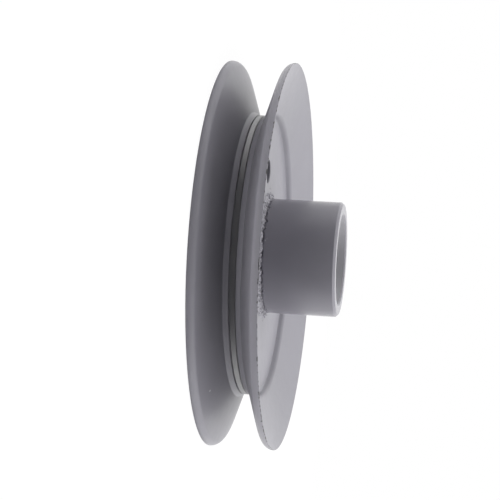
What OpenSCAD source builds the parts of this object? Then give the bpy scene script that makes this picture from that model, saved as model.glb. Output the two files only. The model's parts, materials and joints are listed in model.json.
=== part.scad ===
// Pressed sheet V-belt pulley: two joggled flanges and a flat disc between them, welded round a tube hub.
// +Z runs along the bore towards the hub's nose. The rear flange's rim stands on Z = 0.

/* [Rim and groove] */
// Outside diameter of both flanges
rim_d = 150; // [135:1:190]
// Included angle of the V groove
groove_angle = 38; // [30:1:42]
// Thickness of the flange sheet
sheet_t = 2.5; // [1.8:0.1:3.2]
// Rounding of the rim on the groove side
rim_round = 3.1; // [0.4:0.1:3.1]
// Rounding of the rim on the outer side
rim_edge = 0.2; // [0.1:0.05:0.4]

/* [Joggle at the foot of the groove] */
// Diameter at which the joggle leaves the centre disc, on the groove side
shoulder_d = 108.8; // [102:0.2:114]
// Axial height of the joggle's groove face
shoulder_rise = 2.1; // [1.6:0.1:4]
// Lean of the joggle from the radial direction
joggle_angle = 64; // [50:1:75]
// Thickness of the sheet where it is drawn down in the joggle
joggle_t = 1.7; // [1.3:0.1:2.2]
// Rounding of the joggle's corner beside the centre disc
shoulder_round = 0.6; // [0.3:0.1:0.8]
// Rounding of the corner between the joggle and the groove wall
foot_round = 0.5; // [0.3:0.1:1.2]
// Rounding of the corner between the joggle and the outer side of the web
web_round = 0.6; // [0.3:0.1:0.8]
// Rounding of the corner between the joggle and the outer side of the groove wall
back_round = 2.5; // [1:0.1:2.5]

/* [Centre disc] */
// Diameter of the centre disc, whose edge is the groove's floor
disc_d = 108.8; // [102:0.2:114]
// Thickness of the centre disc
disc_t = 2.5; // [1.6:0.1:4]
// Chamfer along both edges of the centre disc
disc_chamfer = 0.4; // [0.2:0.1:0.7]

/* [Hub] */
// Outside diameter of the hub tube
hub_d = 44.5; // [40:0.1:50]
// Wall of the hub tube, inside which the rest is the bore for the shaft
hub_wall = 4.75; // [3.5:0.05:8]
// Length of the hub in front of the web
hub_front = 29.5; // [12:0.5:60]
// Length of the hub behind the web
hub_back = 2.8; // [2.5:0.1:8]
// Chamfer round the hub's nose
nose_chamfer = 0.95; // [0.4:0.05:1.4]
// Chamfer round the hub's back end
back_chamfer = 0.5; // [0.2:0.1:0.6]
// Chamfer at both mouths of the bore
bore_chamfer = 0.5; // [0.2:0.1:1]
// Radial clearance of the hub in the three plates
hub_gap = 0.1; // [0.05:0.05:0.3]

/* [Weld beads] */
// Leg of each bead along the hub
weld_rise = 1.8; // [1.2:0.1:2.2]
// Leg of each bead along the web
weld_spread = 2.8; // [1.5:0.1:5]
// Height of the bead's crown over the line between its two toes
weld_crown = 0.25; // [0.1:0.05:0.4]

/* [Web holes] */
// Number of holes through the three plates
web_holes = 3; // [2:1:8]
// Diameter of each hole
web_hole_d = 9; // [5:0.5:14]
// Diameter of the circle through the holes' centres
web_hole_pcd = 66; // [64:1:88]

/* [Hidden] */
$fn = 128;
// Largest turn between two points of a rounded outline
arc_step = 10;

rim_r = rim_d / 2;
hub_r = hub_d / 2;
bore_r = hub_r - hub_wall;
plate_hole_r = hub_r + hub_gap;
wall_angle = groove_angle / 2;
web_face = disc_t / 2 + sheet_t;
paint = "#85878b";
weld_paint = "#7b7d81";

// Section points are [radius, height over the mid plane].
// A line's lean is counted from the radial direction.
function along(lean) = [cos(lean), sin(lean)];
function grooveward(lean) = [sin(lean), -cos(lean)];

// Points along a round stretch, from one direction to another
function arc(centre, radius, from, to) =
    let (steps = ceil(abs(to - from) / arc_step))
    [for (i = [0 : steps]) centre + radius * along(from + (to - from) * i / steps)];

// Points of a corner between two others, rounded if its radius is over 0
function corner(before, at, after, radius) =
    radius == 0 ? [at] :
    let (
        back = (before - at) / norm(before - at),
        forward = (after - at) / norm(after - at),
        half = acos(back * forward) / 2,
        centre = at + (back + forward) / norm(back + forward) * radius / sin(half),
        start = at + back * radius / tan(half) - centre,
        stop = at + forward * radius / tan(half) - centre,
        from = atan2(start[1], start[0]),
        turn = (atan2(stop[1], stop[0]) - from + 540) % 360 - 180
    )
    arc(centre, radius, from, from + turn);

// Outline through corners given as [point, radius]
function rounded(corners) =
    let (last = len(corners) - 1)
    [for (i = [0 : last])
        each corner(
            corners[i == 0 ? last : i - 1][0],
            corners[i][0],
            corners[i == last ? 0 : i + 1][0],
            corners[i][1]
        )
    ];

// Groove face of the joggle, from the centre disc to the groove wall
shoulder = [shoulder_d / 2, disc_t / 2];
foot = shoulder + shoulder_rise * [1 / tan(joggle_angle), 1];

// Point of the groove wall at a radius and a depth below its groove face
function wall_at(radius, depth) =
    let (start = foot - depth * grooveward(wall_angle))
    start + along(wall_angle) * (radius - start[0]) / cos(wall_angle);

// Outer face of the joggle: where it leaves the web, and where it meets the outer face of the groove wall
joggle_back = shoulder - joggle_t * grooveward(joggle_angle);
web_end = joggle_back + (web_face - joggle_back[1]) * [1 / tan(joggle_angle), 1];
wall_back = wall_at(web_end[0], sheet_t);
back_run = (wall_back[1] - web_end[1]) / (sin(joggle_angle) - cos(joggle_angle) * tan(wall_angle));
back_foot = web_end + back_run * along(joggle_angle);

// Largest round of the rim's groove side that leaves its other edge as it is
round_limit = (sheet_t - rim_edge * (1 + sin(wall_angle))) / (1 - sin(wall_angle));

// The rear rim stands on Z = 0, so the mid plane is half the width over the rims above it
mid_z = wall_at(rim_r - rim_edge, sheet_t - rim_edge)[1] + rim_edge;
hub_back_z = mid_z - web_face - hub_back;
hub_nose_z = mid_z + web_face + hub_front;

// Half section of a flange: out along the groove face, round the rim, and back along the outer face
module flange_section() {
    polygon(rounded([
        [[plate_hole_r, disc_t / 2], 0],
        [shoulder, shoulder_round],
        [foot, foot_round],
        [wall_at(rim_r, 0), min(rim_round, 0.95 * round_limit)],
        [wall_at(rim_r, sheet_t), rim_edge],
        [back_foot, back_round],
        [web_end, web_round],
        [[plate_hole_r, web_face], 0]
    ]));
}

// Through holes of the three plates, centred on the mid plane
module web_drill() {
    length = 4 * web_face;
    for (i = [0 : web_holes - 1])
        rotate([0, 0, i * 360 / web_holes])
            translate([web_hole_pcd / 2, 0, -length / 2])
                cylinder(d = web_hole_d, h = length);
}

// Flange with its groove face down, on a mid plane at Z = 0
module flange() {
    difference() {
        rotate_extrude() flange_section();
        web_drill();
    }
}

// Fillet weld between the hub and a web, on a mid plane at Z = 0
module weld_ring() {
    hub_toe = [hub_r, web_face + weld_rise];
    web_toe = [hub_r + weld_spread, web_face];
    chord = norm(web_toe - hub_toe);
    bead_r = (chord * chord / 4 + weld_crown * weld_crown) / (2 * weld_crown);
    outward = [weld_rise, weld_spread] / chord;
    bead_centre = (hub_toe + web_toe) / 2 - (bead_r - weld_crown) * outward;
    web_side = web_toe - bead_centre;
    hub_side = hub_toe - bead_centre;
    rotate_extrude() polygon([
        [hub_r, web_face],
        each arc(bead_centre, bead_r, atan2(web_side[1], web_side[0]), atan2(hub_side[1], hub_side[0]))
    ]);
}

module hub_tube() {
    color(paint) rotate_extrude() polygon([
        [bore_r + bore_chamfer, hub_back_z],
        [hub_r - back_chamfer, hub_back_z],
        [hub_r, hub_back_z + back_chamfer],
        [hub_r, hub_nose_z - nose_chamfer],
        [hub_r - nose_chamfer, hub_nose_z],
        [bore_r + bore_chamfer, hub_nose_z],
        [bore_r, hub_nose_z - bore_chamfer],
        [bore_r, hub_back_z + bore_chamfer]
    ]);
}

module centre_disc() {
    disc_r = disc_d / 2;
    half_t = disc_t / 2;
    color(paint) translate([0, 0, mid_z]) difference() {
        rotate_extrude() polygon([
            [plate_hole_r, -half_t],
            [disc_r - disc_chamfer, -half_t],
            [disc_r, disc_chamfer - half_t],
            [disc_r, half_t - disc_chamfer],
            [disc_r - disc_chamfer, half_t],
            [plate_hole_r, half_t]
        ]);
        web_drill();
    }
}

module front_flange() {
    color(paint) translate([0, 0, mid_z]) flange();
}

module rear_flange() {
    color(paint) translate([0, 0, mid_z]) mirror([0, 0, 1]) flange();
}

module front_weld() {
    color(weld_paint) translate([0, 0, mid_z]) weld_ring();
}

module rear_weld() {
    color(weld_paint) translate([0, 0, mid_z]) mirror([0, 0, 1]) weld_ring();
}

hub_tube();
centre_disc();
front_flange();
rear_flange();
front_weld();
rear_weld();
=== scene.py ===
"""Looks of a pressed and welded V-belt pulley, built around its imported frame. Lengths are in metres."""

import json
import math
import random

import bmesh
import bpy
from mathutils import Matrix, Vector, noise


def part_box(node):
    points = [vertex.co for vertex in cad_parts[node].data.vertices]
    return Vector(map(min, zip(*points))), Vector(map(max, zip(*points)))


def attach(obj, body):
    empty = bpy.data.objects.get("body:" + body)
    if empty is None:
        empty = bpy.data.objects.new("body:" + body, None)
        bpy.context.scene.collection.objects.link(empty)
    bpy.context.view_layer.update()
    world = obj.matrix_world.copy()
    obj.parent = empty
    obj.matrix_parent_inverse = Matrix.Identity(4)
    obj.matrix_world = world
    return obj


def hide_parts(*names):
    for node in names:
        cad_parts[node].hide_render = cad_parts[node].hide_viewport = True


MM = 0.001

# Sizes that the frame gives
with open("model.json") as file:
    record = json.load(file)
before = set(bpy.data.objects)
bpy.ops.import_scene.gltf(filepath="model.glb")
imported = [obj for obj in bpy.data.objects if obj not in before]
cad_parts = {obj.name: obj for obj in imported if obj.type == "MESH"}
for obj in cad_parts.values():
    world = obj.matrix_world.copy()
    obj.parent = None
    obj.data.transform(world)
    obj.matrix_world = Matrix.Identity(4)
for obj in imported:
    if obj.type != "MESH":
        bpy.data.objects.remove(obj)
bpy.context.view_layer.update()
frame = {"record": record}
mounts = {mount["name"]: mount["dims"] for mount in frame["record"]["mounts"]}
disc_low, disc_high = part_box("centre_disc")
hub_low, hub_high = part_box("hub_tube")
rim_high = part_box("front_flange")[1]
weld_low, weld_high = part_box("front_weld")

RIM_R = rim_high.x
RIM_Z = rim_high.z
MID_Z = (disc_low.z + disc_high.z) / 2
HALF_DISC = disc_high.z - MID_Z
SHEET = weld_low.z - disc_high.z
WEB_FACE = HALF_DISC + SHEET
HUB_R = hub_high.x
BORE_R = mounts["bore"]["r_mm"] * MM
HOLE_R = mounts["web_holes"]["hole_r_mm"] * MM
HOLE_CIRCLE_R = mounts["web_holes"]["pcd_mm"] * MM / 2
HOLES = mounts["web_holes"]["count"]
WELD_RISE = weld_high.z - weld_low.z
WELD_SPREAD = weld_high.x - HUB_R

# Section of the pressed flanges
WALL_LEAN = math.radians(19)
JOGGLE_LEAN = math.radians(64)
SHOULDER_R = 54.4 * MM
SHOULDER_RISE = 2.1 * MM
JOGGLE_SHEET = 1.7 * MM
SHOULDER_ROUND = 0.6 * MM
FOOT_ROUND = 0.5 * MM
WEB_ROUND = 0.6 * MM
BACK_ROUND = 2.5 * MM
RIM_ROUND = 3.1 * MM
RIM_EDGE = 0.2 * MM
HUB_GAP = 0.1 * MM

# Edges of the other pieces
DISC_R = 54.4 * MM
DISC_CHAMFER = 0.4 * MM
NOSE_CHAMFER = 0.95 * MM
BACK_CHAMFER = 0.5 * MM
BORE_CHAMFER = 0.5 * MM
EDGE_ROUND = 0.15 * MM
HOLE_ROUND = 0.4 * MM

# Punches that cut the web holes
PUNCH_CORE = 0.01 * MM
PUNCH_OVER = 1 * MM

# Wander of the beads' legs, in rows of (share of the leg, pace round the hub, step of the seed)
LEG_SHARE = 0.84
RISE_WANDER = ((0.1, 5, 0), (0.36, 13, 3), (0.2, 31, 13))
SPREAD_WANDER = ((0.1, 6, 5), (0.07, 23, 7))

# Weld beads, with angles in radians
SINK_IN_HUB = 0.4 * MM
SINK_IN_WEB = 0.05 * MM
WELD_CROWN = 0.25 * MM
BEAD_END = math.radians(146)
BEAD_END_WIDTH = 0.16
BEAD_END_SWELL = 0.8
RIPPLES = 104
RIPPLE_DEPTH = 0.1 * MM
RIPPLE_BOW = 1.8
RIPPLE_DRIFT = 2
RIPPLE_PACE = 9
RIPPLE_SEED_STEP = 11
LUMP_DEPTH = 0.7 * MM
LUMP_SIZE = 0.8 * MM
LUMP_LEVEL = 0.5
FRONT_SEED = 1
REAR_SEED = 31

# Undercut in the hub's wall along the toe of the front bead. Its depth varies round the hub
UNDERCUT = 0.75 * MM
UNDERCUT_WIDTH = 0.3 * MM
UNDERCUT_OVER_TOE = 0.15 * MM
UNDERCUT_LEAST = 0.1
UNDERCUT_USUAL = 0.6
UNDERCUT_SWING = 1.7
UNDERCUT_PACE = 13
UNDERCUT_SEED = 41
UNDERCUT_FROM = 0.35
UNDERCUT_ROWS = 23
UNDERCUT_ROW = 0.1 * MM

# Grains of weld metal on the bead, on the web and on the hub
GRAINS = 420
GRAIN_SEED = 5
GRAIN_SIZES = (0.12 * MM, 0.3 * MM)
GRAIN_FLATNESS = (0.6, 1)
GRAIN_REACH = 0.8 * MM
GRAIN_FINENESS = 2
BEAD_GRAINS = 0.7
BEAD_AND_WEB_GRAINS = 0.85
BEAD_GRAIN_SCALE = 1.5
BEAD_GRAIN_STEP = 2
WEB_GRAINS_FROM = 0.8
HUB_GRAIN_REACH = 0.6

# Fineness of the meshes, and creases in degrees
SEGMENTS = 320
BEAD_SEGMENTS = 900
BEAD_STEPS = 14
HOLE_SEGMENTS = 64
ARC_STEP = math.radians(6)
QUARTER = math.pi / 2
CREASE = 40
BEAD_CREASE = 50
GRAIN_CREASE = 60

# The photograph, measured in pixels and degrees
PHOTO_SIDE = 500
FOCAL = 1514.6
RIM_CENTRE = Vector((288.6, 256.8))
RIM_RADIUS = 192.5
AXIS_LEAN = math.radians(9.03)
AXIS_DIP = math.radians(3.32)
HOLE_TURN = math.radians(9.6)

# Camera
SENSOR = 36.0
CLIP_START = 0.01

# Tones of the paint, of the weld and its pits, of the disc, darker than the paint, and of bare metal, and
# two small marks in the paint. The weld's lighter tone is painted light on the bead, the pits' and the
# disc's darker tones are painted shade, and the dark of the rim's chips also paints a shadow line along
# its edge
PAINT = (0.239, 0.233, 0.263)
# The weld's tone is the paint made lighter: painted light on the bead
WELD_PAINT_AND_PAINTED_LIGHT = (0.375, 0.367, 0.408)
# Dark pits in the weld: painted shade between its grains
WELD_PIT_SHADE = (0.140, 0.137, 0.150)
# The disc's tone, darker than the sheet paint it shares: painted shade at the groove's floor
DISC_PAINTED_SHADE = (0.122, 0.119, 0.131)
DISC_IOR = 2.6
STEEL = (0.500, 0.495, 0.520)
# Dark of the rim's chips, which also paints a shadow line along the front rim's edge
CHIP_AND_SHADE_DARK = (0.06, 0.058, 0.058)
SPECK_LIGHT = (0.62, 0.62, 0.62)
RIM_CHIP = Vector((-50.6, 55.2, 25.2)) * MM
WALL_SPECK = Vector((-41.5, 52.6, 5.3)) * MM
RIM_CHIP_SIZE = 0.45 * MM
WALL_SPECK_SIZE = 0.4 * MM

# Gloss, given as roughness
SHEET_GLOSS = 0.31
DISC_GLOSS = 0.34
HUB_GLOSS = 0.22
WELD_GLOSS = 0.3
STEEL_GLOSS = 0.5
GLOSS_SPREAD = 0.02

# Texture of the paint. A grain is the size of a noise's features
NOISE_LOW = 0.3
NOISE_HIGH = 0.7
MOTTLE_GRAIN = 16 * MM
MOTTLE_DARK = 0.97
MOTTLE_LIGHT = 1.03
GLOSS_GRAIN = 3 * MM
PEEL_GRAIN = 0.9 * MM
PEEL = 0.012 * MM
WELD_PEEL = 0.12 * MM
# Chips along the front rim's edge, whose dark band also paints the shadow line there
CHIP_AND_SHADE_GRAIN = 1.6 * MM
CHIP_AND_SHADE_SIZE = 0.4 * MM
CHIP_AND_SHADE_LEAST = -0.7
CHIP_AND_SHADE_MOST = 1.2
# Pits of painted shade in the weld
PIT_SHADE_GRAIN = 0.7 * MM
PIT_SHADE_LEVEL = 0.6
SPOT_GRAIN = 0.5 * MM
BARE_DEPTH = 0.02 * MM

# Studio. Its dark side sets in between two cosines of the angle to the photo camera's direction
SOFTBOX_SIZE = 1.0
SOFTBOX_DISTANCE = 0.9
FILL = 0.01
BACKDROP_EDGE = 0.0
DARK_SIDE = 0.7
FLOOR_SIZE = 12
FLOOR_TONE = (0.9, 0.9, 0.9, 1)
WHITE = (1, 1, 1, 1)
FLOOR_LIGHT = 0.25
FLOOR_GLOW = 0.9
FLOOR_GLOW_NEAR = 0.12
FLOOR_GLOW_FAR = 0.4


def ray(lean):
    """Unit step along a section, in (radius, height), that leans up from the radial direction."""
    return Vector((math.cos(lean), math.sin(lean)))


def grooveward(lean):
    """Unit step square to ray, towards the groove."""
    return Vector((math.sin(lean), -math.cos(lean)))


def arc(centre, radius, start, stop):
    """Points along a round stretch of a section."""
    steps = math.ceil(abs(stop - start) / ARC_STEP)
    return [centre + radius * ray(start + (stop - start) * i / steps) for i in range(steps + 1)]


def corner(before, at, after, radius):
    """Points of a corner between two others, rounded if its radius is over 0."""
    if radius == 0:
        return [at]
    back = (before - at).normalized()
    forward = (after - at).normalized()
    half = back.angle(forward) / 2
    centre = at + (back + forward).normalized() * radius / math.sin(half)
    start = at + back * radius / math.tan(half) - centre
    stop = at + forward * radius / math.tan(half) - centre
    first = math.atan2(start.y, start.x)
    turn = (math.atan2(stop.y, stop.x) - first + 3 * math.pi) % (2 * math.pi) - math.pi
    return arc(centre, radius, first, first + turn)


def rounded(corners):
    """A closed section through corners given as (point, radius)."""
    section = []
    for i, (at, radius) in enumerate(corners):
        following = corners[(i + 1) % len(corners)]
        section += corner(corners[i - 1][0], at, following[0], radius)
    return section


def lifted(section, height):
    return [point + Vector((0, height)) for point in section]


def mirrored(section):
    return [Vector((point.x, -point.y)) for point in reversed(section)]


def turned(name, section_at, segments=SEGMENTS):
    """A mesh piece turned about Z from the closed section that section_at gives for an angle."""
    mesh = bmesh.new()
    rings = []
    for i in range(segments):
        angle = 2 * math.pi * i / segments
        across = Vector((math.cos(angle), math.sin(angle), 0))
        rings.append([mesh.verts.new(across * p.x + Vector((0, 0, p.y))) for p in section_at(angle)])
    for i, ring in enumerate(rings):
        following = rings[(i + 1) % segments]
        for j in range(len(ring)):
            k = (j + 1) % len(ring)
            mesh.faces.new((ring[j], following[j], following[k], ring[k]))
    bmesh.ops.recalc_face_normals(mesh, faces=mesh.faces)
    return as_piece(name, mesh)


def as_piece(name, mesh):
    """A scene object that takes over a bmesh."""
    data = bpy.data.meshes.new(name)
    mesh.to_mesh(data)
    mesh.free()
    piece = bpy.data.objects.new(name, data)
    bpy.context.scene.collection.objects.link(piece)
    return piece


def shaded(piece, crease):
    """Smooth shading, with creases at sharp edges and wide faces kept flat."""
    piece.data.shade_smooth()
    piece.data.set_sharp_from_angle(angle=math.radians(crease))
    normals = piece.modifiers.new("flat_faces", "WEIGHTED_NORMAL")
    normals.keep_sharp = True
    return piece


def punched(piece, section):
    """Cuts the web holes with punches of that section, placed round the hub."""
    punch = turned("punch", lambda angle: section, HOLE_SEGMENTS)
    punches = bmesh.new()
    for i in range(HOLES):
        turn = 2 * math.pi * i / HOLES
        punch.data.transform(Matrix.Translation((HOLE_CIRCLE_R, 0, 0)))
        punch.data.transform(Matrix.Rotation(turn, 4, "Z"))
        punches.from_mesh(punch.data)
        punch.data.transform(Matrix.Rotation(-turn, 4, "Z"))
        punch.data.transform(Matrix.Translation((-HOLE_CIRCLE_R, 0, 0)))
    punches.to_mesh(punch.data)
    punches.free()
    cut = piece.modifiers.new("punch", "BOOLEAN")
    cut.operation = "DIFFERENCE"
    cut.object = punch
    shape = piece.evaluated_get(bpy.context.evaluated_depsgraph_get())
    piece.data = bpy.data.meshes.new_from_object(shape)
    piece.modifiers.clear()
    bpy.data.objects.remove(punch)
    return piece


# Pressed flanges and the disc between them


def shoulder_foot():
    """Where the groove face of the joggle meets the groove wall."""
    return Vector((SHOULDER_R + SHOULDER_RISE / math.tan(JOGGLE_LEAN), HALF_DISC + SHOULDER_RISE))


def wall_at(radius, depth):
    """Point of the groove wall at a radius and a depth below its groove face."""
    start = shoulder_foot() - depth * grooveward(WALL_LEAN)
    return start + ray(WALL_LEAN) * (radius - start.x) / math.cos(WALL_LEAN)


def flange_section():
    """Half section of a flange over the mid plane, out along its groove face and back along the other."""
    inner_r = HUB_R + HUB_GAP
    shoulder = Vector((SHOULDER_R, HALF_DISC))
    back = shoulder - JOGGLE_SHEET * grooveward(JOGGLE_LEAN)
    web_end = Vector((back.x + (WEB_FACE - back.y) / math.tan(JOGGLE_LEAN), WEB_FACE))
    steepening = math.sin(JOGGLE_LEAN) - math.cos(JOGGLE_LEAN) * math.tan(WALL_LEAN)
    back_foot = web_end + ray(JOGGLE_LEAN) * (wall_at(web_end.x, SHEET).y - WEB_FACE) / steepening
    return rounded([
        (Vector((inner_r, HALF_DISC)), 0),
        (shoulder, SHOULDER_ROUND),
        (shoulder_foot(), FOOT_ROUND),
        (wall_at(RIM_R, 0), RIM_ROUND),
        (wall_at(RIM_R, SHEET), RIM_EDGE),
        (back_foot, BACK_ROUND),
        (web_end, WEB_ROUND),
        (Vector((inner_r, WEB_FACE)), 0),
    ])


def punch_section(bottom, top):
    """Half section of a punch that leaves a straight wall up to bottom and a rounded lip at top."""
    lip = Vector((HOLE_R + HOLE_ROUND, top - HOLE_ROUND))
    return [
        Vector((PUNCH_CORE, bottom - PUNCH_OVER)),
        Vector((HOLE_R, bottom - PUNCH_OVER)),
        *arc(lip, HOLE_ROUND, 2 * QUARTER, QUARTER),
        Vector((HOLE_R + HOLE_ROUND, top + PUNCH_OVER)),
        Vector((PUNCH_CORE, top + PUNCH_OVER)),
    ]


def flange(name, node, flip):
    section = flange_section()
    hole = punch_section(HALF_DISC, WEB_FACE)
    if flip:
        section = mirrored(section)
        hole = mirrored(hole)
    section = lifted(section, MID_Z)
    piece = punched(turned(name, lambda angle: section), lifted(hole, MID_Z))
    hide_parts(node)
    return shaded(piece, CREASE)


def disc():
    inner_r = HUB_R + HUB_GAP
    outline = [
        Vector((inner_r, disc_low.z)),
        Vector((DISC_R - DISC_CHAMFER, disc_low.z)),
        Vector((DISC_R, disc_low.z + DISC_CHAMFER)),
        Vector((DISC_R, disc_high.z - DISC_CHAMFER)),
        Vector((DISC_R - DISC_CHAMFER, disc_high.z)),
        Vector((inner_r, disc_high.z)),
    ]
    section = rounded([(point, EDGE_ROUND) for point in outline])
    hole = lifted(punch_section(-HALF_DISC, WEB_FACE), MID_Z)
    piece = punched(turned("groove_disc", lambda angle: section), hole)
    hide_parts("centre_disc")
    return shaded(piece, CREASE)


# Welded hub


def wander(angle, pace, seed):
    """Smooth noise from -1 to 1 that closes round the hub."""
    return noise.noise(Vector((math.cos(angle) * pace, math.sin(angle) * pace, seed)))


def leg(length, angle, seed, terms):
    """Leg of a bead at an angle, which wanders about a share of the solid bead's leg."""
    drift = sum(share * wander(angle, pace, seed + step) for share, pace, step in terms)
    return length * (LEG_SHARE + drift)


def bead_rise(angle, seed):
    """Height of a bead's toe on the hub over the web."""
    return leg(WELD_RISE, angle, seed, RISE_WANDER)


def bead_section(angle, seed):
    """Section of a weld bead over its web: a rippled, lumpy crown between two wandering toes."""
    end_lump = math.exp(-((angle - BEAD_END) / BEAD_END_WIDTH) ** 2)
    hub_toe = Vector((HUB_R - SINK_IN_HUB, bead_rise(angle, seed)))
    web_toe = Vector((HUB_R + leg(WELD_SPREAD, angle, seed, SPREAD_WANDER), -SINK_IN_WEB))
    drift = RIPPLE_DRIFT * wander(angle, RIPPLE_PACE, seed + RIPPLE_SEED_STEP)
    outward = Vector((WELD_RISE, WELD_SPREAD)).normalized()
    section = []
    for i in range(BEAD_STEPS + 1):
        t = i / BEAD_STEPS
        swell = 4 * t * (1 - t)
        place = web_toe.lerp(hub_toe, t)
        spot = Vector((math.cos(angle) * place.x, math.sin(angle) * place.x, place.y + seed))
        ripple = math.sin(RIPPLES * angle + RIPPLE_BOW * swell + drift)
        lump = LUMP_LEVEL - noise.voronoi(spot / LUMP_SIZE)[0][0]
        crown = WELD_CROWN * (1 + BEAD_END_SWELL * end_lump) + RIPPLE_DEPTH * ripple + LUMP_DEPTH * lump
        section.append(place + outward * swell * crown)
    section.append(Vector((HUB_R - SINK_IN_HUB, -SINK_IN_WEB)))
    return section


def bead(name, node, flip, seed):
    def section_at(angle):
        section = lifted(bead_section(angle, seed), WEB_FACE)
        return lifted(mirrored(section) if flip else section, MID_Z)

    piece = turned(name, section_at, BEAD_SEGMENTS)
    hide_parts(node)
    return shaded(piece, BEAD_CREASE)


def grains(name, seed):
    """Grains of weld metal that stuck to the front bead, the web round it and the foot of the hub."""
    chance = random.Random(seed)
    web_z = MID_Z + WEB_FACE
    mesh = bmesh.new()
    for _ in range(GRAINS):
        angle = chance.uniform(0, 2 * math.pi)
        size = chance.uniform(*GRAIN_SIZES)
        reach = chance.expovariate(1 / GRAIN_REACH)
        kind = chance.random()
        if kind < BEAD_GRAINS:
            size *= BEAD_GRAIN_SCALE
            skin = bead_section(angle, FRONT_SEED)
            place = chance.choice(skin[BEAD_GRAIN_STEP:BEAD_STEPS]) + Vector((0, web_z))
        elif kind < BEAD_AND_WEB_GRAINS:
            place = Vector((HUB_R + WEB_GRAINS_FROM * WELD_SPREAD + reach, web_z))
        else:
            place = Vector((HUB_R, web_z + WELD_RISE + HUB_GRAIN_REACH * reach))
        across = Matrix.Rotation(angle, 4, "Z") @ Vector((place.x, 0, place.y))
        grain = Matrix.Translation(across) @ Matrix.Diagonal((1, 1, chance.uniform(*GRAIN_FLATNESS), 1))
        bmesh.ops.create_icosphere(mesh, subdivisions=GRAIN_FINENESS, radius=size, matrix=grain)
    return shaded(as_piece(name, mesh), GRAIN_CREASE)


def hub():
    """Tube with a bevelled nose, and an undercut in its wall along the toe of the front bead."""
    web_z = MID_Z + WEB_FACE
    first_row = web_z + UNDERCUT_FROM * WELD_RISE
    rows = [first_row + UNDERCUT_ROW * i for i in range(UNDERCUT_ROWS)]
    outline = [
        Vector((BORE_R + BORE_CHAMFER, hub_low.z)),
        Vector((HUB_R - BACK_CHAMFER, hub_low.z)),
        Vector((HUB_R, hub_low.z + BACK_CHAMFER)),
        Vector((HUB_R, hub_high.z - NOSE_CHAMFER)),
        Vector((HUB_R - NOSE_CHAMFER, hub_high.z)),
        Vector((BORE_R + BORE_CHAMFER, hub_high.z)),
        Vector((BORE_R, hub_high.z - BORE_CHAMFER)),
        Vector((BORE_R, hub_low.z + BORE_CHAMFER)),
    ]

    def section_at(angle):
        undercut_z = web_z + bead_rise(angle, FRONT_SEED) + UNDERCUT_OVER_TOE
        share = UNDERCUT_USUAL + UNDERCUT_SWING * wander(angle, UNDERCUT_PACE, UNDERCUT_SEED)
        deepest = UNDERCUT * min(1, max(UNDERCUT_LEAST, share))
        wall = []
        for z in rows:
            depth = deepest * math.exp(-(((z - undercut_z) / UNDERCUT_WIDTH) ** 2))
            wall.append((Vector((HUB_R - depth, z)), 0))
        edges = [(point, EDGE_ROUND) for point in outline]
        return rounded(edges[:3] + wall + edges[3:])

    piece = turned("hub_sleeve", section_at, BEAD_SEGMENTS // 2)
    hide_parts("hub_tube")
    return shaded(piece, CREASE)


# Materials


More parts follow.
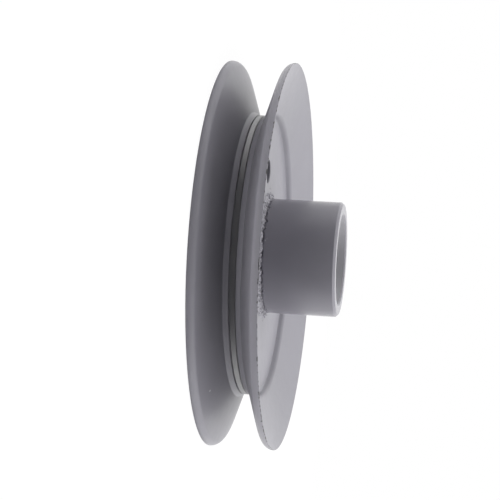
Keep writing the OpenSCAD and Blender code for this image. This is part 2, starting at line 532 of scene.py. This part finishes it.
class Paint:
    """Satin paint over metal: a node material with mottled tone, uneven gloss and fine orange peel."""

    def __init__(self, name, slot, tone, gloss, peel):
        self.slot = slot
        self.material = bpy.data.materials.new(name)
        self.material.use_nodes = True
        self.nodes = self.material.node_tree.nodes
        self.links = self.material.node_tree.links
        self.shader = self.nodes["Principled BSDF"]
        self.place = self.nodes.new("ShaderNodeTexCoord").outputs["Object"]
        self.tone(tone)
        self.gloss(gloss)
        self.peel(peel)

    def noise(self, grain, detail):
        """Noise whose features are about grain across."""
        texture = self.nodes.new("ShaderNodeTexNoise")
        texture.inputs["Scale"].default_value = 1 / grain
        texture.inputs["Detail"].default_value = detail
        self.links.new(self.place, texture.inputs["Vector"])
        return texture.outputs["Fac"]

    def between(self, factor, low, high):
        """A number that runs from low to high as the factor runs over the middle of its noise."""
        spread = self.nodes.new("ShaderNodeMapRange")
        spread.inputs["From Min"].default_value = NOISE_LOW
        spread.inputs["From Max"].default_value = NOISE_HIGH
        spread.inputs["To Min"].default_value = low
        spread.inputs["To Max"].default_value = high
        self.links.new(factor, spread.inputs["Value"])
        return spread.outputs["Result"]

    def mix(self, factor, first, second):
        blend = self.nodes.new("ShaderNodeMix")
        blend.data_type = "RGBA"
        self.links.new(factor, blend.inputs["Factor"])
        for socket, colour in ((blend.inputs["A"], first), (blend.inputs["B"], second)):
            if isinstance(colour, bpy.types.NodeSocket):
                self.links.new(colour, socket)
            else:
                socket.default_value = (*colour, 1)
        return blend.outputs["Result"]

    def math(self, operation, first, second):
        node = self.nodes.new("ShaderNodeMath")
        node.operation = operation
        for socket, value in zip(node.inputs, (first, second)):
            if isinstance(value, bpy.types.NodeSocket):
                self.links.new(value, socket)
            else:
                socket.default_value = value
        return node.outputs["Value"]

    def vector_math(self, operation, vector):
        """A vector operation between the place on the piece and a fixed vector."""
        node = self.nodes.new("ShaderNodeVectorMath")
        node.operation = operation
        node.inputs[1].default_value = vector
        self.links.new(self.place, node.inputs[0])
        return node

    def radius(self):
        """Distance from the bore's axis."""
        flat = self.vector_math("MULTIPLY", (1, 1, 0))
        length = self.nodes.new("ShaderNodeVectorMath")
        length.operation = "LENGTH"
        self.links.new(flat.outputs["Vector"], length.inputs[0])
        return length.outputs["Value"]

    def tone(self, tone):
        dark = [MOTTLE_DARK * part for part in tone]
        light = [MOTTLE_LIGHT * part for part in tone]
        mottle = self.between(self.noise(MOTTLE_GRAIN, detail=4), 0, 1)
        self.recolour(self.mix(mottle, dark, light))

    def recolour(self, colour):
        self.colour = colour
        self.links.new(colour, self.shader.inputs["Base Color"])

    def gloss(self, gloss):
        uneven = self.noise(GLOSS_GRAIN, detail=5)
        self.rough = self.between(uneven, gloss - GLOSS_SPREAD, gloss + GLOSS_SPREAD)
        self.links.new(self.rough, self.shader.inputs["Roughness"])

    def peel(self, depth):
        bump = self.nodes.new("ShaderNodeBump")
        bump.inputs["Strength"].default_value = 1
        bump.inputs["Distance"].default_value = depth
        self.links.new(self.noise(PEEL_GRAIN, detail=3), bump.inputs["Height"])
        self.links.new(bump.outputs["Normal"], self.shader.inputs["Normal"])

    def bare(self, mask, tone, gloss):
        """Bare metal in place of paint where the mask is 1."""
        self.recolour(self.mix(mask, self.colour, tone))
        change = self.math("MULTIPLY", mask, self.math("SUBTRACT", gloss, self.rough))
        self.rough = self.math("ADD", self.rough, change)
        self.links.new(self.rough, self.shader.inputs["Roughness"])

    def bare_bore(self, tone, gloss):
        self.bare(self.math("LESS_THAN", self.radius(), BORE_R + BARE_DEPTH), tone, gloss)

    def chipped_and_shaded_rim(self, size, tone):
        """Ragged chips of another tone along the outer edge of the front rim. Their dark band also paints
        the shadow line along that edge.
        """
        height = self.nodes.new("ShaderNodeSeparateXYZ")
        self.links.new(self.place, height.inputs["Vector"])
        inward = self.math("SUBTRACT", RIM_R, self.radius())
        from_edge = self.math("ADD", inward, self.math("SUBTRACT", RIM_Z, height.outputs["Z"]))
        ragged = self.between(self.noise(CHIP_AND_SHADE_GRAIN, detail=3), CHIP_AND_SHADE_LEAST * size, CHIP_AND_SHADE_MOST * size)
        self.recolour(self.mix(self.math("LESS_THAN", from_edge, ragged), self.colour, tone))

    def painted_pit_shade(self, grain, tone):
        """Scattered small pits of another tone: painted shade in the pits between the weld's grains."""
        pit_shade = self.math("GREATER_THAN", self.noise(grain, detail=2), PIT_SHADE_LEVEL)
        self.recolour(self.mix(pit_shade, self.colour, tone))

    def spot(self, centre, size, tone):
        """A ragged spot of another tone."""
        distance = self.vector_math("DISTANCE", centre).outputs["Value"]
        ragged = self.math("MULTIPLY", self.noise(SPOT_GRAIN, detail=2), 2 * size)
        self.recolour(self.mix(self.math("LESS_THAN", distance, ragged), self.colour, tone))


# Studio


def combined(nodes, links, operation, first, second):
    """The output of a math node that works on two outputs."""
    node = nodes.new("ShaderNodeMath")
    node.operation = operation
    links.new(first, node.inputs[0])
    links.new(second, node.inputs[1])
    return node.outputs["Value"]


def mirrored_rays(nodes, links, path):
    """1 for rays that show the background in gloss or through glass."""
    glossy = path.outputs["Is Glossy Ray"]
    return combined(nodes, links, "MAXIMUM", glossy, path.outputs["Is Transmission Ray"])


def behind_camera(nodes, links, direction):
    """0 towards the dark side of the studio, where the photo's camera stands, and 1 away from it."""
    unit = nodes.new("ShaderNodeVectorMath")
    unit.operation = "NORMALIZE"
    links.new(direction, unit.inputs[0])
    towards_camera = nodes.new("ShaderNodeVectorMath")
    towards_camera.operation = "DOT_PRODUCT"
    towards_camera.inputs[1].default_value = (math.cos(CAMERA_AZIMUTH), math.sin(CAMERA_AZIMUTH), 0)
    links.new(unit.outputs["Vector"], towards_camera.inputs[0])
    share = nodes.new("ShaderNodeMapRange")
    share.interpolation_type = "SMOOTHSTEP"
    share.inputs["From Min"].default_value = BACKDROP_EDGE
    share.inputs["From Max"].default_value = DARK_SIDE
    share.inputs["To Min"].default_value = 1
    share.inputs["To Max"].default_value = 0
    links.new(towards_camera.outputs["Value"], share.inputs["Value"])
    return share.outputs["Result"]


def studio_world():
    """White to the eye, and in gloss except on the dark side of the studio. As light, a low even fill."""
    world = bpy.data.worlds.new("studio")
    bpy.context.scene.world = world
    world.use_nodes = True
    nodes = world.node_tree.nodes
    links = world.node_tree.links
    fill = nodes["Background"]
    fill.inputs["Color"].default_value = WHITE
    fill.inputs["Strength"].default_value = FILL
    white = nodes.new("ShaderNodeBackground")
    white.inputs["Color"].default_value = WHITE
    white.inputs["Strength"].default_value = 1
    path = nodes.new("ShaderNodeLightPath")
    light_side = behind_camera(nodes, links, nodes.new("ShaderNodeTexCoord").outputs["Generated"])
    in_gloss = combined(nodes, links, "MULTIPLY", mirrored_rays(nodes, links, path), light_side)
    seen = combined(nodes, links, "MAXIMUM", path.outputs["Is Camera Ray"], in_gloss)
    choice = nodes.new("ShaderNodeMixShader")
    links.new(seen, choice.inputs["Fac"])
    links.new(fill.outputs["Background"], choice.inputs[1])
    links.new(white.outputs["Background"], choice.inputs[2])
    links.new(choice.outputs["Shader"], nodes["World Output"].inputs["Surface"])


def floor():
    """White to the eye but for some of the object's shadow, and in gloss except on the dark side."""
    mesh = bmesh.new()
    bmesh.ops.create_grid(mesh, x_segments=1, y_segments=1, size=FLOOR_SIZE / 2)
    piece = as_piece("studio_floor", mesh)
    material = bpy.data.materials.new("floor_white")
    material.use_nodes = True
    nodes = material.node_tree.nodes
    links = material.node_tree.links
    nodes.remove(nodes["Principled BSDF"])
    matte = nodes.new("ShaderNodeBsdfDiffuse")
    matte.inputs["Color"].default_value = FLOOR_TONE
    light = nodes.new("ShaderNodeEmission")
    light.inputs["Strength"].default_value = FLOOR_LIGHT
    lit = nodes.new("ShaderNodeAddShader")
    links.new(matte.outputs["BSDF"], lit.inputs[0])
    links.new(light.outputs["Emission"], lit.inputs[1])
    place = nodes.new("ShaderNodeTexCoord").outputs["Object"]
    reach = nodes.new("ShaderNodeVectorMath")
    reach.operation = "LENGTH"
    links.new(place, reach.inputs[0])
    share = nodes.new("ShaderNodeMapRange")
    share.inputs["From Min"].default_value = FLOOR_GLOW_NEAR
    share.inputs["From Max"].default_value = FLOOR_GLOW_FAR
    share.inputs["To Min"].default_value = FLOOR_GLOW
    share.inputs["To Max"].default_value = 1
    links.new(reach.outputs["Value"], share.inputs["Value"])
    path = nodes.new("ShaderNodeLightPath")
    eye = path.outputs["Is Camera Ray"]
    bright = combined(nodes, links, "MAXIMUM", eye, behind_camera(nodes, links, place))
    glow = nodes.new("ShaderNodeEmission")
    links.new(bright, glow.inputs["Strength"])
    seen = combined(nodes, links, "MULTIPLY", eye, share.outputs["Result"])
    white = combined(nodes, links, "MAXIMUM", seen, mirrored_rays(nodes, links, path))
    choice = nodes.new("ShaderNodeMixShader")
    links.new(white, choice.inputs["Fac"])
    links.new(lit.outputs["Shader"], choice.inputs[1])
    links.new(glow.outputs["Emission"], choice.inputs[2])
    links.new(choice.outputs["Shader"], nodes["Material Output"].inputs["Surface"])
    piece.data.materials.append(material)


def softbox(name, azimuth, elevation, power):
    """A square lamp that looks at the object. Azimuth is counted from the camera's side, in degrees."""
    turn = CAMERA_AZIMUTH + math.radians(azimuth)
    rise = math.radians(elevation)
    target = Vector((0, 0, MID_Z))
    level = math.cos(rise)
    outward = Vector((math.cos(turn) * level, math.sin(turn) * level, math.sin(rise)))
    lamp = bpy.data.lights.new(name, "AREA")
    lamp.size = SOFTBOX_SIZE
    lamp.energy = power
    box = bpy.data.objects.new(name, lamp)
    box.location = target + outward * SOFTBOX_DISTANCE
    box.rotation_euler = outward.to_track_quat("Z", "Y").to_euler()
    box.visible_glossy = False
    bpy.context.scene.collection.objects.link(box)


def photo_camera():
    """The camera that puts the front rim where the photograph has it, seen across the hub."""
    depth = FOCAL / RIM_RADIUS * RIM_R
    offset = (RIM_CENTRE - Vector((PHOTO_SIDE, PHOTO_SIDE)) / 2) * depth / FOCAL
    rim_centre = Vector((offset.x, offset.y, depth))
    axis = Vector((
        math.cos(AXIS_LEAN) * math.cos(AXIS_DIP),
        math.cos(AXIS_LEAN) * math.sin(AXIS_DIP),
        -math.sin(AXIS_LEAN),
    ))
    picture_up = Vector((0, -1, 0))
    up = (picture_up - axis * picture_up.dot(axis)).normalized()
    far = up.cross(axis)
    part_x = math.cos(HOLE_TURN) * up - math.sin(HOLE_TURN) * far
    to_part = Matrix((part_x, axis.cross(part_x), axis))
    camera = bpy.data.objects.new("photo_camera", bpy.data.cameras.new("photo_camera"))
    camera.data.sensor_width = SENSOR
    camera.data.lens = SENSOR * FOCAL / PHOTO_SIDE
    camera.data.clip_start = CLIP_START
    facing = to_part @ Matrix.Diagonal((1, -1, -1))
    place = Vector((0, 0, RIM_Z)) - to_part @ rim_centre
    camera.matrix_world = Matrix.Translation(place) @ facing.to_4x4()
    bpy.context.scene.collection.objects.link(camera)
    bpy.context.scene.camera = camera
    return math.atan2(place.y, place.x)


bpy.context.scene.view_settings.view_transform = "Standard"
CAMERA_AZIMUTH = photo_camera()
studio_world()
floor()
softbox("upper_softbox", azimuth=-90, elevation=45, power=5.1)
softbox("lower_softbox", azimuth=90, elevation=45, power=6.2)
softbox("low_softbox", azimuth=90, elevation=12, power=3.3)
softbox("nose_softbox", azimuth=180, elevation=82, power=6.8)

sheet_paint = Paint("satin_sheet_with_painted_rim_shade", "sheet_paint", PAINT, SHEET_GLOSS, PEEL)
# Chips along the rim's edge, which also paint its shadow line
sheet_paint.chipped_and_shaded_rim(CHIP_AND_SHADE_SIZE, CHIP_AND_SHADE_DARK)
sheet_paint.spot(RIM_CHIP, RIM_CHIP_SIZE, CHIP_AND_SHADE_DARK)
sheet_paint.spot(WALL_SPECK, WALL_SPECK_SIZE, SPECK_LIGHT)
# A darker copy of the sheet paint: painted shade at the groove's floor
shaded_disc_paint = Paint("disc_with_painted_shade", "sheet_paint", DISC_PAINTED_SHADE, DISC_GLOSS, PEEL)
shaded_disc_paint.shader.inputs["IOR"].default_value = DISC_IOR
hub_paint = Paint("satin_hub", "hub_paint", PAINT, HUB_GLOSS, PEEL)
hub_paint.bare_bore(STEEL, STEEL_GLOSS)
# A lighter copy of the paint: painted light on the weld beads and grains
weld_paint = Paint("satin_weld_with_painted_light_and_shade", "weld_paint", WELD_PAINT_AND_PAINTED_LIGHT, WELD_GLOSS, WELD_PEEL)
# Dark pits: painted shade between the weld's grains
weld_paint.painted_pit_shade(PIT_SHADE_GRAIN, WELD_PIT_SHADE)

sheet_pieces = [
    flange("pressed_flange_front", "front_flange", False),
    flange("pressed_flange_rear", "rear_flange", True),
]
disc_pieces = [disc()]
hub_pieces = [hub()]
weld_pieces = [
    bead("weld_bead_front", "front_weld", False, FRONT_SEED),
    bead("weld_bead_rear", "rear_weld", True, REAR_SEED),
    grains("weld_grains_front", GRAIN_SEED),
]
dressed = (
    (sheet_paint, sheet_pieces),
    (shaded_disc_paint, disc_pieces),
    (hub_paint, hub_pieces),
    (weld_paint, weld_pieces),
)
for paint, pieces in dressed:
    for piece in pieces:
        piece.data.materials.clear()
        piece.data.materials.append(paint.material)
        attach(piece, "root")
